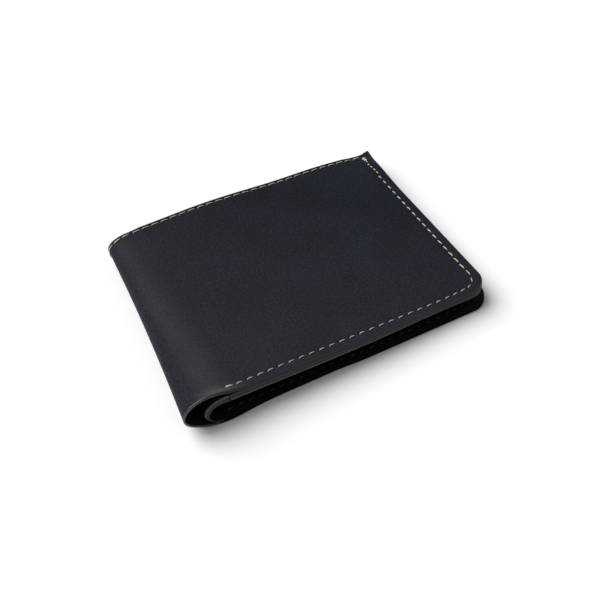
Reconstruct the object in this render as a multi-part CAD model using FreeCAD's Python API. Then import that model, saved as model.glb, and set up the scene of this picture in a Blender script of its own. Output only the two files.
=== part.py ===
"""Bifold leather wallet, folded shut and lying on its lower half.

Millimetres, +X from the fold to the free edge, +Y towards the open mouth of the bill
compartment, +Z up. The model is laid out from the sewn corner of the fold side
(x = 0, y = 0 lies on the bottom seam) and moved at the end, so that the origin is the
middle of the underside.
"""
import FreeCAD
import Part

import math
import os

Vector = FreeCAD.Vector

# ---- plan sizes --------------------------------------------------------------------
NEAR_EDGE = -3.0            # bottom edge of both halves; the bottom seam is at y = 0
FAR_EDGE = 88.5             # mouth edge of the outer shell
EAR_EDGE = 90.0             # tip of the sewn corner beside the bill mouth
FREE_EDGE_UPPER = 95.5
FREE_EDGE_LOWER = 96.5      # the lower half shows a little past the upper one
SIDE_MARGIN = 2.8           # free edge to the side seam
CORNER_RADIUS = 7.5         # rounded corner between bottom edge and free edge
SEAM_CORNER_RADIUS = 4.5
EAR_WIDTH = 3.4
FOLD_LINE_UPPER = -5.4      # where the sewn stack of the upper half begins
FOLD_LINE_LOWER = -9.0      # where the lower shell starts to curl into the fold
FOLD_GAP = 0.25             # the bent layers end this short of the sewn stack above
PANEL_LINE_LOWER = -5.4     # where the inner layers of the lower half start to curl

# ---- thicknesses -------------------------------------------------------------------
SHELL = 0.9
LINING = 0.3
DIVIDER_UPPER = 0.9
PANEL_UPPER = 0.8
DIVIDER_LOWER = 0.4
PANEL_LOWER = 0.5
POCKET_LINING = 0.2
POCKET = 0.4                # one card pocket
SKIVE = 0.56                # inner layers of the upper half thin to this at the free edge

# ---- closed attitude ---------------------------------------------------------------
UPPER_HEIGHT = 11.56        # outer face of the upper half above the rest plane at x = 0
UPPER_TILT = math.radians(2.06)   # the upper half slopes down to its free edge

# ---- fold sections: leftmost x, its height, crest x, crest height ------------------
MIDDLE_Y = 0.5 * (NEAR_EDGE + FAR_EDGE)
SHELL_FOLD = {
    NEAR_EDGE: (-19.9, 6.8, -10.6, 13.5),
    MIDDLE_Y: (-17.1, 6.4, -9.9, 12.7),
    FAR_EDGE: (-15.6, 5.9, -9.2, 12.0),
}
CURL_START = -10.5          # where the underside of the shell lifts off the rest plane
# leftmost x of the divider's bill side, and its height
DIVIDER_FOLD = {
    NEAR_EDGE: (-13.8, 6.0),
    MIDDLE_Y: (-12.0, 5.9),
    FAR_EDGE: (-10.6, 5.8),
}
PANEL_FLAT = 0.6            # flat run of the inner layers before they curl
DIVIDER_AT_FOLD = 0.9       # thickness of the two inner layers at the middle of the fold
PANEL_AT_FOLD = 0.9

# ---- bill compartment and card pockets ---------------------------------------------
DIVIDER_TOP = 84.0          # top edge of the divider, below the mouth of the shell
PANEL_TOP = 83.0
POCKET_MOUTHS = {"rear": 77.0, "middle": 67.5, "front": 58.0}
POCKET_FOLD_SIDE_LOWER = 1.2    # edges of the card pockets beside the fold
POCKET_FOLD_SIDE_UPPER = -2.4
LOWER_BLOCK_INSET = 6.0     # the lower card pockets stop short of the edges
BLOCK_SEAM_MARGIN = 2.2

# ---- thread ------------------------------------------------------------------------
PITCH = 3.8
STITCH_LENGTH = 2.7
THREAD = 0.6
THREAD_SUNK = 0.2           # how deep a stitch lies in the leather
THREAD_PROUD = 0.15
THREAD_ON_FOLD = 0.25       # thickness of the stitches that lie on the curved fold
FOLD_THREAD_GAP = 0.1       # the fold swells a little between the mouth and the seam
FOLD_STITCHES = 5
FOLD_STITCH_START = 2.2     # upper end of the fold to the middle of its first stitch
FIRST_STITCH = -3.8
HEM_SEAM = FAR_EDGE - 1.9   # row of stitches along the mouth edge
TACK_LENGTH = 3.2
TACK_WIDTH = 1.0

SHELL_LEVEL = SHELL
LINING_LEVEL = SHELL + LINING
UPPER_DIVIDER_LEVEL = LINING_LEVEL + DIVIDER_UPPER
UPPER_PANEL_LEVEL = UPPER_DIVIDER_LEVEL + PANEL_UPPER
LOWER_DIVIDER_LEVEL = LINING_LEVEL + DIVIDER_LOWER
LOWER_PANEL_LEVEL = LOWER_DIVIDER_LEVEL + PANEL_LOWER
POCKET_ORDER = ("rear", "middle", "front")


# ---- outlines in plan --------------------------------------------------------------
def rectangle(x_low, x_high, y_low, y_high):
    corners = [(x_low, y_low), (x_high, y_low), (x_high, y_high), (x_low, y_high)]
    points = [Vector(x, y, 0) for x, y in corners]
    return Part.Face(Part.makePolygon(points + points[:1]))


def half_outline(x_low, x_free, y_high, radius, ear=False):
    """Plan of one half: square at the fold, one rounded corner, an optional ear."""
    turn = radius * (1 - math.sqrt(0.5))
    edges = [
        Part.makeLine(Vector(x_low, y_high, 0), Vector(x_low, NEAR_EDGE, 0)),
        Part.makeLine(Vector(x_low, NEAR_EDGE, 0), Vector(x_free - radius, NEAR_EDGE, 0)),
        Part.Arc(
            Vector(x_free - radius, NEAR_EDGE, 0),
            Vector(x_free - turn, NEAR_EDGE + turn, 0),
            Vector(x_free, NEAR_EDGE + radius, 0),
        ).toShape(),
    ]
    if ear:
        ear_start = x_free - EAR_WIDTH - (EAR_EDGE - y_high)
        corners = [
            Vector(x_free, NEAR_EDGE + radius, 0),
            Vector(x_free, EAR_EDGE, 0),
            Vector(x_free - EAR_WIDTH, EAR_EDGE, 0),
            Vector(ear_start, y_high, 0),
            Vector(x_low, y_high, 0),
        ]
    else:
        corners = [
            Vector(x_free, NEAR_EDGE + radius, 0),
            Vector(x_free, y_high, 0),
            Vector(x_low, y_high, 0),
        ]
    for start, end in zip(corners, corners[1:]):
        edges.append(Part.makeLine(start, end))
    return Part.Face(Part.Wire(edges))


# ---- layers ------------------------------------------------------------------------
def upper_depth(level, x):
    """Depth of a level of the upper stack below its outer face, skived to the free edge."""
    if level <= LINING_LEVEL:
        return level
    share = (x - FOLD_LINE_UPPER) / (FREE_EDGE_UPPER - FOLD_LINE_UPPER)
    return LINING_LEVEL + (level - LINING_LEVEL) * (1 - share * (1 - SKIVE))


def place_upper(shape):
    """Lay the flat upper half at its closed attitude."""
    placed = shape.copy()
    placed.rotate(Vector(0, 0, 0), Vector(0, 1, 0), math.degrees(UPPER_TILT))
    placed.translate(Vector(0, 0, UPPER_HEIGHT))
    return placed


def upper_layer(outline, outside, inside):
    """Solid between two levels of the upper half, before it is laid at its attitude."""
    ends = (FOLD_LINE_UPPER - 2, FREE_EDGE_UPPER + 2)
    corners = [Vector(x, 0, -upper_depth(outside, x)) for x in ends]
    corners += [Vector(x, 0, -upper_depth(inside, x)) for x in reversed(ends)]
    wedge = Part.Face(Part.makePolygon(corners + corners[:1])).extrude(Vector(0, 200, 0))
    wedge.translate(Vector(0, -50, 0))
    block = outline.extrude(Vector(0, 0, 12))
    block.translate(Vector(0, 0, -10))
    return wedge.common(block)


def lower_layer(outline, outside, inside):
    """Solid between two levels of the lower half."""
    layer = outline.extrude(Vector(0, 0, inside - outside))
    layer.translate(Vector(0, 0, outside))
    return layer


# ---- stitches ----------------------------------------------------------------------
def stitch(x, y, angle=0.0, length=STITCH_LENGTH, width=THREAD):
    """Plan of one stitch."""
    face = rectangle(-length / 2, length / 2, -width / 2, width / 2)
    face.rotate(Vector(0, 0, 0), Vector(0, 0, 1), angle)
    face.translate(Vector(x, y, 0))
    return face


def bottom_seam(x_free):
    """Stitches of the bottom seam and round its corner."""
    straight_end = x_free - SIDE_MARGIN - SEAM_CORNER_RADIUS
    count = int((straight_end - FIRST_STITCH) / PITCH) + 1
    faces = [stitch(FIRST_STITCH + PITCH * i, 0) for i in range(count)]
    middle = Vector(straight_end, SEAM_CORNER_RADIUS, 0)
    for angle in (25, 65):
        turned = math.radians(angle)
        x = middle.x + SEAM_CORNER_RADIUS * math.sin(turned)
        y = middle.y - SEAM_CORNER_RADIUS * math.cos(turned)
        faces.append(stitch(x, y, angle, length=2.2))
    return faces


def side_seam_rows():
    """Places of the side seam's stitches along +Y."""
    count = 21
    return [SEAM_CORNER_RADIUS + 2.1 + PITCH * i for i in range(count)]


def side_seam(x_free):
    return [stitch(x_free - SIDE_MARGIN, y, 90) for y in side_seam_rows()]


def hem_seam(x_low, x_high):
    count = int((x_high - x_low - STITCH_LENGTH) / PITCH) + 1
    first = x_low + STITCH_LENGTH / 2 + 0.3
    return [stitch(first + PITCH * i, HEM_SEAM) for i in range(count)]


def group(solids):
    return Part.makeCompound(solids)


# ---- fold sections -----------------------------------------------------------------
def quarter(x_middle, x_left, z_level, z_end):
    """Quarter ellipse from (x_left, z_level) to (x_middle, z_end), as a smooth curve."""
    points = []
    steps = 6
    for i in range(steps + 1):
        turned = 0.5 * math.pi * i / steps
        x = x_middle - (x_middle - x_left) * math.cos(turned)
        z = z_level + (z_end - z_level) * math.sin(turned)
        points.append((x, z))
    return points


def smooth_drop(x_start, z_start, x_end, z_end):
    """Soft shoulder between the crest of the fold and the flat upper half."""
    points = []
    steps = 4
    for i in range(1, steps + 1):
        t = i / steps
        ease = t * t * (3 - 2 * t)
        points.append((x_start + (x_end - x_start) * t, z_start + (z_end - z_start) * ease))
    return points


def upper_face(x):
    """Height of the flat outer face of the upper half."""
    return UPPER_HEIGHT - math.tan(UPPER_TILT) * x


def shell_curve(y, inset):
    """Fold of the shell at a depth below its outer face, from the underside to the top."""
    left, left_z, crest, crest_z = SHELL_FOLD[y]
    under = quarter(CURL_START, left + inset, left_z, inset)
    over = quarter(crest, left + inset, left_z, crest_z - inset)
    end = FOLD_LINE_UPPER - FOLD_GAP
    shoulder = smooth_drop(crest, crest_z - inset, end, upper_face(end) - inset)
    return under[::-1] + over[1:] + shoulder


def inner_curve(y, inset, lower_z, upper_z):
    """Fold of an inner layer, from the lower half to the upper one."""
    left, left_z = DIVIDER_FOLD[y]
    under = quarter(PANEL_LINE_LOWER - PANEL_FLAT, left + inset, left_z, lower_z)
    over = quarter(FOLD_LINE_UPPER - FOLD_GAP, left + inset, left_z, upper_z)
    return under[::-1] + over[1:]


def fold_run(points):
    """Smooth curve round the fold."""
    spline = Part.BSplineCurve()
    spline.interpolate(points)
    return spline.toShape()


def fold_solid(outer_curves, inner_curves, x_start):
    """Loft a closed band section along +Y; both arguments map y to points (x, z)."""
    sections = []
    for y in sorted(outer_curves):
        outer = [Vector(x, y, z) for x, z in outer_curves[y]]
        inner = [Vector(x, y, z) for x, z in inner_curves[y]]
        outer_start = Vector(x_start, y, outer[0].z)
        inner_start = Vector(x_start, y, inner[0].z)
        sections.append(Part.Wire([
            Part.makeLine(outer_start, outer[0]),
            fold_run(outer),
            Part.makeLine(outer[-1], inner[-1]),
            fold_run(inner[::-1]),
            Part.makeLine(inner[0], inner_start),
            Part.makeLine(inner_start, outer_start),
        ]))
    ruled = True
    return Part.makeLoft(sections, True, ruled)


def shell_band(outside, inside):
    outer = {y: shell_curve(y, outside) for y in SHELL_FOLD}
    inner = {y: shell_curve(y, inside) for y in SHELL_FOLD}
    return fold_solid(outer, inner, FOLD_LINE_LOWER)


def inner_band(insets, lower_levels, upper_levels):
    top = upper_face(FOLD_LINE_UPPER)
    curves = []
    for inset, low, up in zip(insets, lower_levels, upper_levels):
        curves.append({y: inner_curve(y, inset, low, top - up) for y in DIVIDER_FOLD})
    return fold_solid(curves[0], curves[1], PANEL_LINE_LOWER)


# ---- the pieces --------------------------------------------------------------------
def lower_half():
    pieces = {}
    free = FREE_EDGE_LOWER
    seam = bottom_seam(free)
    side = side_seam(free)
    hem = hem_seam(FOLD_LINE_LOWER, free - SIDE_MARGIN - 2.5)
    tack = stitch(free - SIDE_MARGIN - 1.2, HEM_SEAM, 0, TACK_LENGTH, TACK_WIDTH)

    outer = {}
    for name, faces in (("bottom", seam), ("side", side), ("hem", hem), ("tack", [tack])):
        outer[name] = [lower_layer(face, 0.0, THREAD_SUNK + THREAD_PROUD) for face in faces]
    shell = lower_layer(half_outline(FOLD_LINE_LOWER, free, FAR_EDGE, CORNER_RADIUS), 0, SHELL)
    pieces["outer_shell_lower"] = shell.cut(group(sum(outer.values(), [])))

    inside = {}
    inside["bottom"] = [
        lower_layer(face, LOWER_PANEL_LEVEL - THREAD_SUNK, LOWER_PANEL_LEVEL + THREAD_PROUD)
        for face in seam
    ]
    on_panel = [stitch(free - SIDE_MARGIN, y, 90) for y in side_seam_rows() if y < PANEL_TOP - 2]
    inside["side"] = [
        lower_layer(face, LOWER_PANEL_LEVEL - THREAD_SUNK, LOWER_PANEL_LEVEL + THREAD_PROUD)
        for face in on_panel
    ]
    lining = lower_layer(
        half_outline(FOLD_LINE_LOWER, free, FAR_EDGE, CORNER_RADIUS), SHELL_LEVEL, LINING_LEVEL)
    pieces["shell_lining_lower"] = lining
    pieces["bill_divider_lower"] = lower_layer(
        half_outline(PANEL_LINE_LOWER, free, DIVIDER_TOP, CORNER_RADIUS),
        LINING_LEVEL, LOWER_DIVIDER_LEVEL)

    block_left = POCKET_FOLD_SIDE_LOWER
    block_right = free - LOWER_BLOCK_INSET
    block_near = NEAR_EDGE + LOWER_BLOCK_INSET
    level = LOWER_PANEL_LEVEL
    backing = rectangle(block_left, block_right, block_near, POCKET_MOUTHS["rear"])
    pieces["pocket_lining_lower"] = lower_layer(backing, level, level + POCKET_LINING)
    level += POCKET_LINING
    block_stitches = []
    for name in POCKET_ORDER:
        front = rectangle(block_left, block_right, block_near, POCKET_MOUTHS[name])
        pocket = lower_layer(front, level, level + POCKET)
        level += POCKET
        faces = pocket_seam(name, block_left, block_right, block_near)
        threads = [lower_layer(face, level - THREAD_SUNK, level + THREAD_PROUD) for face in faces]
        pieces["card_pocket_%s_lower" % name] = pocket.cut(group(threads))
        block_stitches += threads
    pieces["card_pocket_thread_lower"] = group(block_stitches)

    panel = lower_layer(
        half_outline(PANEL_LINE_LOWER, free, PANEL_TOP, CORNER_RADIUS),
        LOWER_DIVIDER_LEVEL, LOWER_PANEL_LEVEL)
    pieces["inner_panel_lower"] = panel.cut(group(inside["bottom"] + inside["side"]))
    pieces["bottom_seam_thread_lower"] = group(outer["bottom"] + inside["bottom"])
    pieces["side_seam_thread_lower"] = group(outer["side"] + inside["side"])
    pieces["mouth_hem_thread_lower"] = group(outer["hem"])
    pieces["corner_tack_lower"] = group(outer["tack"])
    return pieces


def pocket_seam(name, left, right, near):
    """Stitches that hold a card pocket: both sides below its mouth, the front one's bottom."""
    order = POCKET_ORDER.index(name)
    top = POCKET_MOUTHS[name]
    bottom = near
    if order + 1 < len(POCKET_ORDER):
        bottom = POCKET_MOUTHS[POCKET_ORDER[order + 1]]
    count = int((top - bottom - BLOCK_SEAM_MARGIN) / PITCH)
    rows = [bottom + BLOCK_SEAM_MARGIN + 1.2 + PITCH * i for i in range(count)]
    rows = [y for y in rows if y + STITCH_LENGTH / 2 < top]
    faces = []
    for y in rows:
        faces.append(stitch(left + BLOCK_SEAM_MARGIN, y, 90))
        if right is not None:
            faces.append(stitch(right - BLOCK_SEAM_MARGIN, y, 90))
    if name == "front" and right is not None:
        width = right - left - 2 * BLOCK_SEAM_MARGIN
        steps = int(width / PITCH)
        first = left + BLOCK_SEAM_MARGIN + 0.5 * (width - steps * PITCH) + PITCH / 2
        faces += [stitch(first + PITCH * i, near + 1.2) for i in range(steps)]
    return faces


def upper_half():
    pieces = {}
    free = FREE_EDGE_UPPER
    seam = bottom_seam(free)
    side_x = free - SIDE_MARGIN
    side = side_seam(free)
    hem = hem_seam(FOLD_LINE_UPPER, side_x - 2.5)
    tack = stitch(side_x - 1.2, HEM_SEAM, 0, TACK_LENGTH, TACK_WIDTH)

    outer = {}
    for name, faces in (("bottom", seam), ("side", side), ("hem", hem), ("tack", [tack])):
        outer[name] = [upper_layer(face, -THREAD_PROUD, THREAD_SUNK) for face in faces]
    plan = half_outline(FOLD_LINE_UPPER, free, FAR_EDGE, CORNER_RADIUS, ear=True)
    shell = upper_layer(plan, 0, SHELL_LEVEL)
    pieces["outer_shell_upper"] = shell.cut(group(sum(outer.values(), [])))
    pieces["shell_lining_upper"] = upper_layer(plan, SHELL_LEVEL, LINING_LEVEL)
    divider = half_outline(FOLD_LINE_UPPER, free, DIVIDER_TOP, CORNER_RADIUS)
    pieces["bill_divider_upper"] = upper_layer(divider, LINING_LEVEL, UPPER_DIVIDER_LEVEL)

    panel_plan = half_outline(FOLD_LINE_UPPER, free, PANEL_TOP, CORNER_RADIUS)
    panel = upper_layer(panel_plan, UPPER_DIVIDER_LEVEL, UPPER_PANEL_LEVEL)
    block_left = POCKET_FOLD_SIDE_UPPER
    bottom_inside = []
    side_inside = []
    pocket_threads = []

    def sew(piece, level, low_y, high_y):
        """Sink the inside stitches that cross one exposed stretch of the stack."""
        sunk = []
        if low_y <= 0:
            for face in seam:
                if face.CenterOfMass.x > block_left + STITCH_LENGTH / 2:
                    sunk.append(upper_layer(face, level - THREAD_SUNK, level + THREAD_PROUD))
            bottom_inside.extend(sunk)
        for face in side:
            y = face.CenterOfMass.y
            if low_y < y - STITCH_LENGTH / 2 and y + STITCH_LENGTH / 2 < high_y:
                solid = upper_layer(face, level - THREAD_SUNK, level + THREAD_PROUD)
                sunk.append(solid)
                side_inside.append(solid)
        return piece.cut(group(sunk)) if sunk else piece

    level = UPPER_PANEL_LEVEL
    lining_plan = half_outline(block_left, free, POCKET_MOUTHS["rear"], CORNER_RADIUS)
    pieces["pocket_lining_upper"] = upper_layer(lining_plan, level, level + POCKET_LINING)
    level += POCKET_LINING
    for order, name in enumerate(POCKET_ORDER):
        plan = half_outline(block_left, free, POCKET_MOUTHS[name], CORNER_RADIUS)
        pocket = upper_layer(plan, level, level + POCKET)
        level += POCKET
        low_y = POCKET_MOUTHS[POCKET_ORDER[order + 1]] if name != "front" else NEAR_EDGE
        pocket = sew(pocket, level, low_y, POCKET_MOUTHS[name])
        faces = pocket_seam(name, block_left, None, 3.0)
        threads = [upper_layer(face, level - THREAD_SUNK, level + THREAD_PROUD) for face in faces]
        pieces["card_pocket_%s_upper" % name] = pocket.cut(group(threads))
        pocket_threads += threads
    pieces["card_pocket_thread_upper"] = group(pocket_threads)
    first = upper_layer(seam[0], UPPER_PANEL_LEVEL - THREAD_SUNK, UPPER_PANEL_LEVEL + THREAD_PROUD)
    bottom_inside.append(first)
    panel = sew(panel, UPPER_PANEL_LEVEL, POCKET_MOUTHS["rear"], PANEL_TOP)
    pieces["inner_panel_upper"] = panel.cut(first)
    pieces["bottom_seam_thread_upper"] = group(outer["bottom"] + bottom_inside)
    pieces["side_seam_thread_upper"] = group(outer["side"] + side_inside)
    pieces["mouth_hem_thread_upper"] = group(outer["hem"])
    pieces["corner_tack_upper"] = group(outer["tack"])
    return {name: place_upper(shape) for name, shape in pieces.items()}


def fold_pieces():
    pieces = {}
    pieces["outer_shell_spine"] = shell_band(0.0, SHELL)
    pieces["shell_lining_spine"] = shell_band(SHELL, LINING_LEVEL)
    pieces["bill_divider_spine"] = inner_band(
        (0.0, DIVIDER_AT_FOLD),
        (LINING_LEVEL, LOWER_DIVIDER_LEVEL), (LINING_LEVEL, UPPER_DIVIDER_LEVEL))
    pieces["inner_panel_spine"] = inner_band(
        (DIVIDER_AT_FOLD, DIVIDER_AT_FOLD + PANEL_AT_FOLD),
        (LOWER_DIVIDER_LEVEL, LOWER_PANEL_LEVEL), (UPPER_DIVIDER_LEVEL, UPPER_PANEL_LEVEL))
    pieces["bill_divider_spine"] = trim_top(pieces["bill_divider_spine"], DIVIDER_TOP)
    pieces["inner_panel_spine"] = trim_top(pieces["inner_panel_spine"], PANEL_TOP)

    # Stitches of the mouth hem round the fold: straight bars laid on the shell.
    curve = fold_run([Vector(x, HEM_SEAM, z) for x, z in shell_curve(FAR_EDGE, 0.0)])
    stitches = []
    for i in range(FOLD_STITCHES):
        along = curve.Length - FOLD_STITCH_START - PITCH * i
        parameter = curve.getParameterByLength(along)
        place = curve.valueAt(parameter)
        tangent = curve.tangentAt(parameter)
        outward = tangent.cross(Vector(0, 1, 0))
        bar = Part.makeBox(
            STITCH_LENGTH, THREAD, THREAD_ON_FOLD, Vector(-STITCH_LENGTH / 2, -THREAD / 2, 0))
        turn = FreeCAD.Rotation(tangent, outward.cross(tangent), outward, "XYZ")
        bar.Placement = FreeCAD.Placement(place + outward * FOLD_THREAD_GAP, turn)
        stitches.append(bar)
    pieces["mouth_hem_thread_spine"] = group(stitches)
    return pieces


def trim_top(shape, y_high):
    """Keep what lies nearer than y_high."""
    corner = Vector(-100, NEAR_EDGE - 1, -20)
    return shape.common(Part.makeBox(200, y_high - NEAR_EDGE + 1, 60, corner))


def main():
    os.makedirs("parts", exist_ok=True)
    pieces = {}
    pieces.update(lower_half())
    pieces.update(fold_pieces())
    pieces.update(upper_half())
    left = SHELL_FOLD[NEAR_EDGE][0]
    shift = Vector(-0.5 * (left + FREE_EDGE_LOWER), -0.5 * (NEAR_EDGE + EAR_EDGE), 0)
    for name in sorted(pieces):
        shape = pieces[name]
        shape.translate(shift)
        shape.exportStep("parts/%s.step" % name)
        box = shape.BoundBox
        print("%-28s solids %3d  volume %8.1f  x %6.1f %6.1f  y %6.1f %6.1f  z %6.2f %6.2f  %s" % (
            name, len(shape.Solids), shape.Volume, box.XMin, box.XMax,
            box.YMin, box.YMax, box.ZMin, box.ZMax, shape.isValid()))


main()
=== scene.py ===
"""Looks of the closed bifold wallet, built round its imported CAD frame.

Lengths are millimetres in the frame's axes until mesh_object() turns them into metres:
+X from the fold to the free edge, +Y towards the mouth of the bill compartment, +Z up.
"""
import math

import bpy
import numpy as np
from mathutils import Matrix, Vector
from mathutils.geometry import delaunay_2d_cdt


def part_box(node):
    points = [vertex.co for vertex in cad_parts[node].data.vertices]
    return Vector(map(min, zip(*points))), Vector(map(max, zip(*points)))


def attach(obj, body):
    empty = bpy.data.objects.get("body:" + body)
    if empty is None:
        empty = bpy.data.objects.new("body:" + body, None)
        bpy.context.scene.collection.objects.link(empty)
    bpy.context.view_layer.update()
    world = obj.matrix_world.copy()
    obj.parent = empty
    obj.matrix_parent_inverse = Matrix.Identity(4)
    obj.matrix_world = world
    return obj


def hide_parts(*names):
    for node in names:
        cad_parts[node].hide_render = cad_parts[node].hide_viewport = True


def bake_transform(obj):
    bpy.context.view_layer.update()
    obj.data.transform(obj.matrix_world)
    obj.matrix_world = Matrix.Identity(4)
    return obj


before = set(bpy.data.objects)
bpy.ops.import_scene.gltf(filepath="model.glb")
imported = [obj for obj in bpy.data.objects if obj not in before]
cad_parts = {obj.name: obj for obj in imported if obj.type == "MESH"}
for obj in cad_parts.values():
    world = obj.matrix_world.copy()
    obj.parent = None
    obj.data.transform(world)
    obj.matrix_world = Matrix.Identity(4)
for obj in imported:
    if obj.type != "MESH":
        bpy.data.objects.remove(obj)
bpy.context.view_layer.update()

MM = 0.001
RNG = np.random.default_rng(7)


# ---- measures read from the frame ----
def box_mm(node):
    low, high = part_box(node)
    return np.array(low) / MM, np.array(high) / MM


UPPER_LOW, UPPER_HIGH = box_mm("outer_shell_upper")
LOWER_LOW, LOWER_HIGH = box_mm("outer_shell_lower")
NEAR = UPPER_LOW[1]
EAR = UPPER_HIGH[1]
MOUTH = LOWER_HIGH[1]
FOLD_UPPER = UPPER_LOW[0]
FOLD_LOWER = LOWER_LOW[0]
FREE_UPPER = UPPER_HIGH[0]
FREE_LOWER = LOWER_HIGH[0]
SHELL = LOWER_HIGH[2]
LINING = box_mm("shell_lining_lower")[1][2] - SHELL
INNER_LAYERS = ("bill_divider", "inner_panel", "pocket_lining",
                "card_pocket_rear", "card_pocket_middle", "card_pocket_front")
LOWER_LEVELS = {name: (box_mm(name + "_lower")[0][2], box_mm(name + "_lower")[1][2])
                for name in INNER_LAYERS}
DIVIDER_TOP = box_mm("bill_divider_lower")[1][1]
PANEL_TOP = box_mm("inner_panel_lower")[1][1]
MOUTHS = {n: box_mm("card_pocket_%s_lower" % n)[1][1] for n in ("rear", "middle", "front")}
BLOCK_LOW, BLOCK_HIGH = box_mm("card_pocket_rear_lower")
PANEL_FOLD_LOWER = box_mm("inner_panel_lower")[0][0]

# ---- sizes of the sewn edges ----
SEAM_MARGIN = 2.9           # bottom seam to the near edge
SIDE_MARGIN = 3.3           # side seam to the free edge
HEM_MARGIN = 1.8            # hem to the mouth edge
POCKET_MARGIN = 2.2         # pocket seams to the pockets' sides
PITCH = 3.74                # of the bottom seam, the hem and the pocket seams
SIDE_PITCH = 3.67
STITCH = 2.45               # length of an ordinary stitch
SLANT = 7.0                 # degrees that each stitch leans off its seam
CORNER = 7.6                # radius of the sewn corners
EAR_WIDTH = 1.8
EAR_TOP = EAR - 2.35
SKIVE = 0.56                # what the inner layers keep of their thickness at the free edge
STACK_START = FOLD_UPPER + 1.4      # where the upper inner layers leave their fold
FREE_TOP_Z = UPPER_LOW[2] + SHELL
SLOPE = (UPPER_HIGH[2] - FREE_TOP_Z) / (FREE_UPPER - FOLD_UPPER)

# ---- shape of the fold, each at the near edge, in the middle and at the mouth ----
CREST_X = (-49.3, -47.6, -44.6)             # the outer face's highest line
CREST_Z = (14.1, 12.8, 11.25)
SHELL_LEFT = (-58.75, -55.35, -53.5)        # how far the shell reaches
SHELL_LEFT_Z = (7.6, 6.6, 5.9)
BAND_LEFT = (-51.65, -50.4, -49.1)          # how far the inner band reaches
BAND_LEFT_Z = (5.7, 5.6, 5.6)
EGG = 1.24                  # over 1, the lower corner of the fold is drawn in
BULGE = 1.1                 # how far the bottom edge swells out beside the fold
LINING_INSET = SHELL - 0.05     # the fold's lining under the shell's outer face
SHELL_BLEND = (1.2, 10.6)   # heights given to the fold pieces as blend; only whether one is given is used
LINING_BLEND = (1.3, SHELL_BLEND[1] - 0.7)
BAND_BLEND = (2.4, 7.6)
FOLD_STEPS = 72

# Creases left by use: x, y, direction in degrees, half length, depth.
CREASES = ((23.8, -29.0, 98, 9.0, 0.10), (27.0, -23.0, 112, 7.0, 0.07),
           (19.0, -31.0, 80, 8.0, 0.05), (33.0, -8.0, 105, 10.0, 0.05),
           (-8.0, -20.0, 120, 12.0, 0.04), (-22.0, 12.0, 75, 14.0, 0.05))
# Last stitches of the bottom seam, from the free edge: x, y, direction, length.
CORNER_STITCHES = ((-16.4, 3.15, 2, 1.85), (-13.0, 3.35, 3, 1.85), (-9.8, 3.6, 6, 1.8),
                   (-6.9, 4.15, 18, 1.75), (-4.45, 6.5, 62, 2.1), (-3.5, 10.25, 86, 2.5))


def smooth(t):
    t = np.clip(t, 0.0, 1.0)
    return t * t * (3 - 2 * t)


def through(y, near, middle, far):
    """Smooth value along Y that passes through three values: near edge, middle, mouth."""
    t = (np.asarray(y, float) - NEAR) / (MOUTH - NEAR)
    return near * (1 - t) * (1 - 2 * t) + middle * 4 * t * (1 - t) + far * t * (2 * t - 1)


# ---- the outer face of the upper half ----
def flat_face(x):
    return UPPER_HIGH[2] - SLOPE * (np.asarray(x, float) - FOLD_UPPER)


def crest_x(y):
    return through(y, *CREST_X)


def crest_z(y):
    return through(y, *CREST_Z)


def bill_crown(x, y):
    """The open mouth of the bill compartment swells in the middle and droops at its end."""
    swell = 1.1 * np.cos(0.5 * math.pi * np.clip((x + 12) / 34, -1, 1)) ** 2
    droop = -1.15 * smooth((x - 15) / 38) ** 3 - 0.7 * smooth((x - 45) / 9)
    sewn = smooth((x - (FREE_UPPER - 1.0)) / 1.6)
    reach = smooth((y - (MOUTH - 50)) / 50)
    near_end = smooth((y - (MOUTH - 16)) / 16)
    return (swell * reach + droop * near_end) * (1 - sewn)


def handling(x, y):
    """Soft waves and faint creases left in the leather by use."""
    wave = 0.10 * np.sin(x / 9.5 + 0.7 * np.sin(y / 17.0)) * np.sin(y / 14.0 + 1.1)
    wave += 0.06 * np.sin((x - 0.6 * y) / 5.7 + 2.0) * np.sin((x + y) / 21.0)
    for cx, cy, angle, half, depth in CREASES:
        a = math.radians(angle)
        along = (x - cx) * math.cos(a) + (y - cy) * math.sin(a)
        across = -(x - cx) * math.sin(a) + (y - cy) * math.cos(a)
        across = across + 0.05 * along * np.sin(along / 3.0)
        fade = np.exp(-(along / half) ** 2)
        ridge = np.exp(-((across + 1.2) / 1.3) ** 2)
        wave += depth * fade * (ridge - np.exp(-(across / 0.8) ** 2))
    inside = smooth((y - NEAR - 5) / 9) * smooth((FREE_UPPER - x - 4) / 9)
    inside = inside * smooth((MOUTH - y - 2) / 8)
    return wave * inside * smooth((x - FOLD_UPPER) / 12)


def stack_rise(x, y):
    """The whole sewn stack stands a little higher towards the fold."""
    return 0.38 * smooth((-8 - x) / 26) * smooth((8 - y) / 50)


def outer_face(x, y):
    x = np.asarray(x, float)
    y = np.asarray(y, float)
    rise = crest_z(y) - flat_face(crest_x(y)) - stack_rise(crest_x(y), y)
    start = FOLD_UPPER + through(y, 7.0, 6.0, 4.6)
    lift = rise * smooth((start - x) / (start - crest_x(y)))
    return flat_face(x) + stack_rise(x, y) + lift + bill_crown(x, y) + handling(x, y)


def free_flare(x, y):
    """How far the free edge stands out beside the mouth, where it carries the ear."""
    near_edge = smooth((x - FREE_UPPER + 8) / 6)
    return near_edge * (0.75 * smooth((y - 14) / 24) - 0.2 + 0.65 * smooth((y - 37) / 8))


def near_draw(x, y):
    """How far the near edge of the upper half draws in on its way to the corner."""
    return 0.95 * smooth((x - 4) / 38) * smooth((-34 - y) / 10)


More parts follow.
